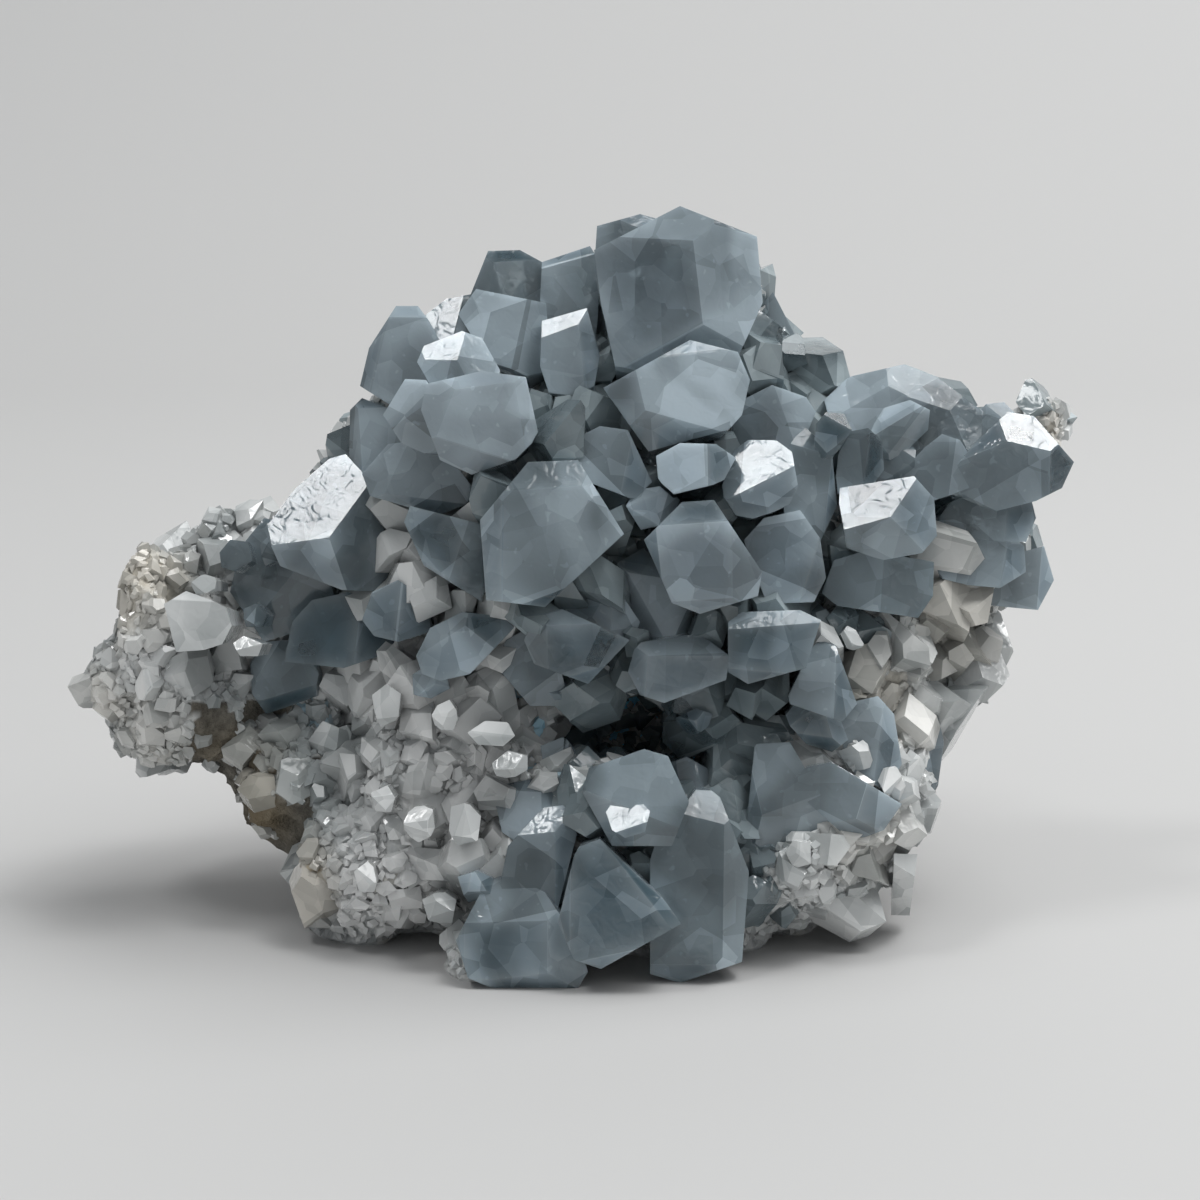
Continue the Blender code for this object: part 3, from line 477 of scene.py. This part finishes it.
def crust_material():
    """Pale sugary druse on rough tan-grey rock, with a few rusty places."""
    recipe = Recipe("matrix_rock")
    place = recipe.place()
    druse = recipe.value("druse")
    broad = recipe.noise(CLOUD_SIZE, 4, 0.6, 0.4, place)
    fine = recipe.noise(1.1 * MM, 5, 0.65, 0, place)
    grain = recipe.noise(0.28 * MM, 3, 0.6, 0, place)
    grains = recipe.node("ShaderNodeTexVoronoi", {"feature": "F1"},
                         {"Vector": place, "Scale": 1 / (0.9 * MM)})
    rust = recipe.step(recipe.noise(5 * MM, 3, 0.5, 0.5, place), 0.62, 0.72)
    tan = recipe.value("tan")
    stone = recipe.ramp(broad * 0.5 + fine * 0.5,
                        (0.30, shade(0.05, 0.045, 0.037)), (0.46, shade(0.13, 0.12, 0.10)),
                        (0.56, shade(0.23, 0.215, 0.18)), (0.70, shade(0.42, 0.39, 0.33)))
    stone = recipe.blend((rust * 0.3 + tan * 0.45).clamped(), stone, shade(0.40, 0.30, 0.16))
    sugar = recipe.ramp(broad * 0.6 + fine * 0.4,
                        (0.34, shade(0.36, 0.39, 0.395)), (0.50, shade(0.58, 0.60, 0.60)),
                        (0.64, shade(0.80, 0.81, 0.79)))
    sugar = recipe.blend((rust * 0.25 + tan * 0.6).clamped(), sugar, shade(0.58, 0.49, 0.34))
    # Deep blue in the hollows: partly the crystals' own blue, partly painted light that lifts the shade
    # there
    sugar = recipe.blend(recipe.value("deep"), sugar, shade(0.30, 0.75, 1.0))
    rough = recipe.bump(fine * 0.6 + grain * 0.4, 0.8 * MM)
    stepped = recipe.bump(grains * 0.5 + fine * 0.5, 0.25 * MM)
    rock = recipe.node("ShaderNodeBsdfPrincipled", {}, {
        "Base Color": stone, "Roughness": 0.6 + grain * 0.3, "Normal": rough})
    crystals = recipe.node("ShaderNodeBsdfPrincipled", {}, {
        "Base Color": sugar, "Roughness": 0.15 + fine * 0.35, "IOR": CELESTITE_IOR, "Normal": stepped})
    surface = recipe.node("ShaderNodeMixShader", {}, {0: druse, 1: rock, 2: crystals})
    return recipe.finish(surface)


def stage_material(name, colour, roughness):
    recipe = Recipe(name)
    surface = recipe.node("ShaderNodeBsdfPrincipled", {}, {"Base Color": colour, "Roughness": roughness})
    return recipe.finish(surface)


# Shapes

# What each face of a crystal holds: its own random value, how light it is (its own tone with painted shade
# and painted light in it) and how tan it is
LAYERS = ("facet", "tone", "tan")


def new_object(name, builder, material=None):
    mesh = bpy.data.meshes.new(name)
    builder.to_mesh(mesh)
    builder.free()
    made = bpy.data.objects.new(name, mesh)
    bpy.context.scene.collection.objects.link(made)
    if material:
        mesh.materials.append(material)
    return made


def apply_modifiers(target):
    bpy.context.view_layer.update()
    shaped = target.evaluated_get(bpy.context.evaluated_depsgraph_get())
    mesh = bpy.data.meshes.new_from_object(shaped)
    target.modifiers.clear()
    target.data = mesh


def displace(target, name, size, strength):
    texture = bpy.data.textures.new(name, "CLOUDS")
    texture.noise_scale = size
    texture.noise_depth = 1
    change = target.modifiers.new(name, "DISPLACE")
    change.texture = texture
    change.texture_coords = "LOCAL"
    change.strength = strength
    change.mid_level = 0.5


def sharp_edges(builder, shortest):
    """The outer edges of a crystal that are long enough."""
    return [edge for edge in builder.edges if edge.is_manifold and edge.is_convex
            and edge.calc_face_angle(0) > EDGE_SHARPNESS and edge.calc_length() > shortest]


def bevel(builder, edges, width, steps):
    """Cut edges away and return the new faces."""
    cut = bmesh.ops.bevel(builder, geom=edges, offset=width, offset_type="OFFSET", segments=steps,
                          profile=0.5, affect="EDGES", clamp_overlap=True, material=-1)
    return cut["faces"]


def add_layers(builder):
    for name in LAYERS:
        builder.faces.layers.float.new(name)


def layers_of(builder):
    """The values of each face that a crystal's material reads."""
    return [builder.faces.layers.float[name] for name in LAYERS]


def crystal_piece(node, material, rng):
    """A crystal node with whole facets, slightly worn edges and a rim marked round each facet."""
    builder = bmesh.new()
    builder.from_mesh(node.data)
    bmesh.ops.remove_doubles(builder, verts=builder.verts, dist=SAME_PLACE)
    bmesh.ops.dissolve_limit(builder, angle_limit=FLAT, verts=builder.verts, edges=builder.edges)
    for size, share, longest in FACETINGS:
        chosen = [edge for edge in sharp_edges(builder, longest) if rng.random() < share]
        bevel(builder, chosen, size, 1)
    sharp = sharp_edges(builder, SHORTEST_EDGE)
    worn = builder.faces.layers.float.new("worn")
    width = min(EDGE_WIDTH, EDGE_SHARE * max(node.dimensions))
    for face in bevel(builder, sharp, width, EDGE_STEPS):
        face[worn] = 1
    add_layers(builder)
    facet, tone, tan = layers_of(builder)
    for face in builder.faces:
        face.smooth = False
        middle = face.calc_center_median()
        face[facet] = rng.random()
        # The tone patches paint shade into recessed crystals and light onto shaded ones, besides their own
        # tone
        face[tone] = patch_value(middle, TONE_AND_SHADE_PATCHES)
        face[tan] = patch_value(middle, TAN_PATCHES)
    mark_rims(builder)
    piece = new_object(node.name + "_look", builder, material)
    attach(piece, "root")
    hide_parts(node.name)
    return piece


def mark_rims(builder):
    """Give each facet a point in its middle, so that a value can fade from its edge to its middle."""
    worn = builder.faces.layers.float["worn"]
    rim = builder.verts.layers.float.new("rim")
    for vertex in builder.verts:
        vertex[rim] = 1
    whole = [face for face in builder.faces if not face[worn] and face.calc_area() > SMALL_FACET
             and all(loop.is_convex for loop in face.loops)]
    for vertex in bmesh.ops.poke(builder, faces=whole)["verts"]:
        vertex[rim] = 0


def balls(name, lumps):
    """Swellings or hollows, as loose balls in one mesh."""
    rightwards, upwards, towards = sight()
    turn = Matrix((rightwards, upwards, towards)).transposed().to_4x4()
    builder = bmesh.new()
    for lump in lumps:
        size = Matrix.Diagonal((lump.wide * MM, lump.tall * MM, lump.deep * MM, 1))
        place = Matrix.Translation(seen(lump.across, lump.down, lump.near))
        bmesh.ops.create_icosphere(builder, subdivisions=BALL_DETAIL, radius=1, matrix=place @ turn @ size)
    return new_object(name, builder)


def run_together(solid, voxel):
    """Make one even skin over overlapping shapes."""
    blend = solid.modifiers.new("Run together", "REMESH")
    blend.mode = "VOXEL"
    blend.voxel_size = voxel
    apply_modifiers(solid)


def rock_form():
    """The matrix rock, run together from its swellings, hollowed and roughened."""
    rock = balls("rock", ROCK_LUMPS)
    pocket = balls("pocket", POCKET_LUMPS)
    run_together(rock, COARSE_VOXEL)
    run_together(pocket, COARSE_VOXEL)
    hollow = rock.modifiers.new("Hollow", "BOOLEAN")
    hollow.operation = "DIFFERENCE"
    hollow.solver = "EXACT"
    hollow.object = pocket
    apply_modifiers(rock)
    bpy.data.objects.remove(pocket, do_unlink=True)
    run_together(rock, VOXEL)
    displace(rock, "Swell", SWELL_SIZE, SWELL)
    displace(rock, "Grit", GRIT_SIZE, GRIT)
    displace(rock, "Pitting", PITTING_SIZE, PITTING)
    apply_modifiers(rock)
    builder = bmesh.new()
    builder.from_mesh(rock.data)
    geometry = builder.verts[:] + builder.edges[:] + builder.faces[:]
    bmesh.ops.bisect_plane(builder, geom=geometry, dist=1e-7, plane_co=(0, 0, 0), plane_no=(0, 0, -1),
                           clear_outer=True)
    bmesh.ops.holes_fill(builder, edges=[edge for edge in builder.edges if edge.is_boundary])
    for vertex in builder.verts:
        if vertex.co.z > ROCK_UNDER_DRUSE:
            vertex.co -= vertex.normal * ROCK_UNDER_DRUSE
    builder.to_mesh(rock.data)
    builder.free()
    return rock


def crystal_shape(rng):
    """A blocky crystal one unit wide with a chisel tip, standing on its middle."""
    sides = rng.choice((4, 5, 6))
    squash = rng.uniform(0.7, 1)
    builder = bmesh.new()
    for number in range(sides):
        angle = math.tau * (number + rng.uniform(-0.25, 0.25)) / sides
        side = Vector((math.cos(angle), squash * math.sin(angle), 0)) * 0.55
        builder.verts.new(side * 0.8 - Vector((0, 0, 0.5)))
        builder.verts.new(side + Vector((0, 0, 0.9)))
    bmesh.ops.convex_hull(builder, input=builder.verts)
    heading = rng.uniform(0, math.tau)
    for number in range(rng.choice((2, 3, 3))):
        turn = heading + 2.2 * number
        lean = Vector((math.cos(turn), math.sin(turn), rng.uniform(0.8, 2.2))).normalized()
        geometry = builder.verts[:] + builder.edges[:] + builder.faces[:]
        bmesh.ops.bisect_plane(builder, geom=geometry, dist=1e-6, plane_co=(0, 0, rng.uniform(0.4, 0.6)),
                               plane_no=lean, clear_outer=True)
        bmesh.ops.holes_fill(builder, edges=[edge for edge in builder.edges if edge.is_boundary])
    bmesh.ops.remove_doubles(builder, verts=builder.verts, dist=0.04)
    bmesh.ops.dissolve_limit(builder, angle_limit=math.radians(1), verts=builder.verts, edges=builder.edges)
    bmesh.ops.recalc_face_normals(builder, faces=builder.faces)
    add_layers(builder)
    facet = layers_of(builder)[0]
    for face in builder.faces:
        face[facet] = rng.random()
    mesh = bpy.data.meshes.new("shape")
    builder.to_mesh(mesh)
    builder.free()
    return mesh


def plant(name, spots, shapes, rng):
    """One mesh of many small crystals, each a turned and resized copy of a shape, none below the floor."""
    whole = bmesh.new()
    for start in range(0, len(spots), HANDFUL):
        builder = bmesh.new()
        for spot, outwards, size, length in spots[start:start + HANDFUL]:
            old_corners, old_faces = len(builder.verts), len(builder.faces)
            builder.from_mesh(rng.choice(shapes))
            builder.verts.ensure_lookup_table()
            builder.faces.ensure_lookup_table()
            facet, tone, tan = layers_of(builder)
            own_value = rng.random()
            # The tone patches paint shade into recessed crystals and light onto shaded ones, besides their
            # own tone
            own_tone_and_shade, own_tan = patch_value(spot, TONE_AND_SHADE_PATCHES), patch_value(spot, TAN_PATCHES)
            for face in builder.faces[old_faces:]:
                face[facet] = (face[facet] + own_value) / 2
                face[tone] = own_tone_and_shade
                face[tan] = own_tan
            lean = Vector((rng.uniform(-1, 1), rng.uniform(-1, 1), rng.uniform(-1, 1))) * LEAN
            upright = (outwards + lean).to_track_quat("Z", "Y").to_matrix().to_4x4()
            stretch = Matrix.Diagonal((size * rng.uniform(0.75, 1.15), size * rng.uniform(0.75, 1.15),
                                       length * rng.uniform(0.8, 1.1), 1))
            spin = Matrix.Rotation(rng.uniform(0, math.tau), 4, "Z")
            own_corners = builder.verts[old_corners:]
            bmesh.ops.transform(builder, matrix=Matrix.Translation(spot) @ upright @ spin @ stretch,
                                verts=own_corners)
            lowest = min(vertex.co.z for vertex in own_corners)
            bmesh.ops.translate(builder, verts=own_corners, vec=(0, 0, max(0, -lowest)))
        handful = bpy.data.meshes.new("handful")
        builder.to_mesh(handful)
        builder.free()
        whole.from_mesh(handful)
        bpy.data.meshes.remove(handful)
    return new_object(name, whole)


def mark_druse(rock, spots):
    """Mark where druse covers the rock, so that it is pale there, and not on the bare rock."""
    near = KDTree(len(spots))
    for number, spot in enumerate(spots):
        near.insert(spot[0], number)
    near.balance()
    covers = []
    for vertex in rock.data.vertices:
        away = near.find(vertex.co)[2] / DRUSE_REACH
        covers.append(0 if is_bare(vertex.co, vertex.normal) else 1 - min(1, max(0, away - 1)))
    # Also how tan the rock is, and where it is painted deep blue, which is partly painted light in the
    # shaded hollows
    tans, deep_blue_and_lit = [[min(1, patch_value(vertex.co, patches)) for vertex in rock.data.vertices]
                   for patches in (TAN_PATCHES, DEEP_BLUE_AND_LIT_PATCHES)]
    for name, values in (("druse", covers), ("tan", tans), ("deep", deep_blue_and_lit)):
        rock.data.attributes.new(name, "FLOAT", "POINT").data.foreach_set("value", values)


class Ground:
    """The rock's surface, with spots to plant crystals on that no large crystal covers."""

    def __init__(self, rock, nodes, rng):
        self.faces = rock.data.polygons
        self.sums = []
        total = 0
        for face in self.faces:
            total += face.area
            self.sums.append(total)
        together = bmesh.new()
        for node in nodes:
            together.from_mesh(node.data)
        self.tree = BVHTree.FromBMesh(together)
        together.free()
        self.rng = rng

    def covered(self, spot):
        nearest, normal, index, distance = self.tree.find_nearest(spot)
        return (spot - nearest).dot(normal) < 0 and distance > COVER

    def spots(self, count, sizes, chance, spacing):
        """Spots with a direction and a size, kept apart by a share of their size."""
        taken = []
        cells = {}
        pitch = sizes[1] * spacing
        tries = self.rng.choices(self.faces, cum_weights=self.sums, k=count * TRIES)
        for face in tries:
            spot, outwards = face.center.copy(), face.normal.copy()
            size = sizes[0] + (sizes[1] - sizes[0]) * self.rng.random() ** 2
            if self.rng.random() > chance(spot, outwards) or spot.z < size * CLEARANCE:
                continue
            cell = tuple(int(part // pitch) for part in spot)
            near = [other for x in (-1, 0, 1) for y in (-1, 0, 1) for z in (-1, 0, 1)
                    for other in cells.get((cell[0] + x, cell[1] + y, cell[2] + z), ())]
            if any((spot - other).length < size * spacing for other in near) or self.covered(spot):
                continue
            cells.setdefault(cell, []).append(spot)
            taken.append((spot, outwards, size, size * STANDING))
            if len(taken) == count:
                break
        return taken


def gap_spots(crystals, rock, rng):
    """Spots deep between the large crystals, with the length that brings a young crystal near their tops."""
    together = bmesh.new()
    for solid in (rock, *crystals):
        together.from_mesh(solid.data)
    tree = BVHTree.FromBMesh(together)
    together.free()
    rock_faces = len(rock.data.polygons)
    towards = sight()[2]
    eye = VIEW_MIDDLE + towards * VIEW_DISTANCE
    depths = {}
    for column in range(GAP_LEFT, GAP_RIGHT, GAP_PITCH):
        for row in range(GAP_TOP, GAP_BOTTOM, GAP_PITCH):
            across = column + rng.uniform(-GAP_JITTER, GAP_JITTER)
            down = row + rng.uniform(-GAP_JITTER, GAP_JITTER)
            hit, normal, index, distance = tree.ray_cast(eye, (seen(across, down, 0) - eye).normalized())
            if hit:
                depth = (hit - VIEW_MIDDLE).dot(towards)
                depths[column, row] = (hit, depth, across, down, index < rock_faces)
    spots = []
    for (column, row), (hit, depth, across, down, on_rock) in depths.items():
        if in_pocket(across, down) or not on_rock:
            continue
        steps = [step * GAP_PITCH for step in range(-GAP_AROUND, GAP_AROUND + 1)]
        nearby = [(column + x, row + y) for x in steps for y in steps]
        around = sorted(depths[near][1] for near in nearby if near in depths)
        level = around[len(around) * 3 // 4]
        if level - depth < GAP_DEPTH:
            continue
        top = seen(across, down, (level - rng.uniform(*GAP_RISE) * (level - depth)) / MM)
        heading = facing(rng.uniform(-25, 25), rng.uniform(-5, 45))
        if all((top - other[0]).length > GAP_SPACING for other in spots):
            width = rng.uniform(*GAP_SIZE)
            spots.append((top - heading * width * 0.5, heading, width, (top - hit).length + GAP_ROOT))
    return spots


def in_pocket(across, down):
    """Whether a pixel is in the dark hollow, which stays open."""
    for lump in POCKET_LUMPS:
        sideways = (across - lump.across) * PIXEL / (lump.wide * MM)
        downwards = (down - lump.down) * PIXEL / (lump.tall * MM)
        if sideways ** 2 + downwards ** 2 < POCKET_MARGIN:
            return True
    return False


def is_pale(spot):
    """Whether a spot is where the small crystals are pale."""
    across, down = pixel_of(spot)
    return any(zone.left < across < zone.right and down > zone.top for zone in PALE_ZONES)


def is_bare(spot, outwards):
    """Whether a spot is on the bare rock below the left lobe."""
    across, down = pixel_of(spot)
    return BARE_LEFT < across < BARE_RIGHT and BARE_TOP < down < BARE_CORNER - BARE_SLOPE * across \
        and outwards.z < BARE_UPWARDS


def young_chance(spot, outwards):
    """Young crystals fill the front between the large ones, and thin out to the left lobe and the back."""
    across, down = pixel_of(spot)
    if is_bare(spot, outwards):
        return 0
    if outwards.dot(facing(0, 20)) < -0.1:
        return 0.06 if spot.z > HIGH_BACK else 0
    if outwards.dot(facing(0, 0)) < 0.3:
        return 0.04
    if across < LOBE_LEFT or across > TIP_LEFT:
        return 0
    return 0.5 if across < LOBE_RIGHT else 1


def druse_chance(spot, outwards):
    """Druse covers the front, and lies thinly on the bare rock, at the right and at the back."""
    across, down = pixel_of(spot)
    if is_bare(spot, outwards):
        return 0.012
    if outwards.dot(facing(0, 20)) < -0.25:
        return 0.025
    return 0.5 if across > THIN_LEFT and down > THIN_TOP else 1


# Camera, light and stage

def add_camera():
    towards = sight()[2]
    data = bpy.data.cameras.new("camera")
    data.sensor_width = SENSOR
    data.lens = SENSOR * VIEW_DISTANCE / (VIEW_PIXELS * PIXEL)
    data.clip_start = NEAREST_SEEN
    data.clip_end = FARTHEST_SEEN
    camera = bpy.data.objects.new("camera", data)
    camera.location = VIEW_MIDDLE + towards * VIEW_DISTANCE
    camera.rotation_euler = (math.radians(90) - VIEW_DIP, 0, 0)
    bpy.context.scene.collection.objects.link(camera)
    bpy.context.scene.camera = camera


def add_light(lamp):
    """A square soft light that shines on the cluster from a direction of the view."""
    data = bpy.data.lights.new(lamp.name, "AREA")
    data.shape = "SQUARE"
    data.size = lamp.size
    data.energy = lamp.power
    light = bpy.data.objects.new(lamp.name, data)
    direction = facing(lamp.turn, lamp.tilt)
    light.location = VIEW_MIDDLE + direction * lamp.distance
    light.rotation_euler = direction.to_track_quat("Z", "Y").to_euler()
    bpy.context.scene.collection.objects.link(light)


def corners_of(geometry):
    return [part for part in geometry if isinstance(part, bmesh.types.BMVert)]


def edges_of(geometry):
    return [part for part in geometry if isinstance(part, bmesh.types.BMEdge)]


def add_stage():
    """A pale floor that curves up into a pale wall."""
    builder = bmesh.new()
    start = builder.verts.new((-STAGE_SIDE, -STAGE_SIDE, 0))
    end = builder.verts.new((STAGE_SIDE, -STAGE_SIDE, 0))
    floor = bmesh.ops.extrude_edge_only(builder, edges=[builder.edges.new((start, end))])["geom"]
    moved = corners_of(floor)
    bmesh.ops.translate(builder, verts=moved, vec=(0, STAGE_SIDE + STAGE_BEND_START, 0))
    rim = [edge for edge in edges_of(floor) if all(corner in moved for corner in edge.verts)]
    curve = bmesh.ops.spin(builder, geom=rim, cent=(0, STAGE_BEND_START, STAGE_BEND), axis=(1, 0, 0),
                           dvec=(0, 0, 0), angle=math.radians(90), steps=STAGE_BEND_STEPS, use_merge=False,
                           use_duplicate=False)
    wall = bmesh.ops.extrude_edge_only(builder, edges=edges_of(curve["geom_last"]))["geom"]
    bmesh.ops.translate(builder, verts=corners_of(wall), vec=(0, 0, STAGE_SIDE))
    stage = new_object("stage", builder, stage_material("stage", STAGE_COLOUR, STAGE_ROUGHNESS))
    for face in stage.data.polygons:
        face.use_smooth = True


def add_world():
    world = bpy.data.worlds.new("studio")
    world.use_nodes = True
    background = world.node_tree.nodes["Background"]
    background.inputs["Color"].default_value = SKY_COLOUR
    background.inputs["Strength"].default_value = SKY_STRENGTH
    bpy.context.scene.world = world


def set_light_paths():
    """Enough bounces for light to cross the crystals, and plain colours."""
    scene = bpy.context.scene
    scene.cycles.max_bounces = 3
    scene.cycles.diffuse_bounces = 1
    scene.cycles.glossy_bounces = 2
    scene.cycles.transmission_bounces = 3
    scene.view_settings.view_transform = "Standard"


def side_of(spot):
    """The name of the druse patch that a spot belongs to."""
    across, down = pixel_of(spot)
    if spot.y > 0:
        return "druse_back"
    if across < LEFT_DRUSE_END:
        return "druse_left"
    return "druse_middle" if across < MIDDLE_DRUSE_END else "druse_right"


def put(piece, material):
    """Give a finished piece its material, its body and its slot."""
    piece.data.materials.append(material)
    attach(piece, "root")


def dress():
    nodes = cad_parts
    crystals = [node for name, node in sorted(nodes.items()) if name != "matrix"]
    rng = random.Random(SEED)
    large = crystal_material("celestite", LARGE_LOOK)
    between = crystal_material("young_celestite", YOUNG_LOOK)
    pale = crystal_material("pale_celestite", PALE_LOOK)
    rock = rock_form()
    ground = Ground(rock, crystals, rng)
    shapes = [crystal_shape(rng) for number in range(SHAPES)]
    young = ground.spots(YOUNG_COUNT, YOUNG_SIZE, young_chance, YOUNG_SPACING)
    gaps = gap_spots(crystals, rock, rng)
    druse = ground.spots(DRUSE_COUNT, DRUSE_SIZE, druse_chance, DRUSE_SPACING)
    mark_druse(rock, young + druse)
    put(rock, crust_material())
    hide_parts("matrix")
    kinds = (("young_crystals", between, False), ("pale_young_crystals", pale, True))
    for name, material, wanted in kinds:
        spots = [spot for spot in young + gaps if is_pale(spot[0]) == wanted]
        put(plant(name, spots, shapes, rng), material)
    for name in ("druse_left", "druse_middle", "druse_right", "druse_back"):
        patch = [spot for spot in druse if side_of(spot[0]) == name]
        put(plant(name, patch, shapes, rng), pale)
    for node in crystals:
        crystal_piece(node, pale if node.name.startswith(PALE_NODES) else large, rng)


dress()
set_light_paths()
add_camera()
add_world()
add_stage()
for lamp in LAMPS:
    add_light(lamp)
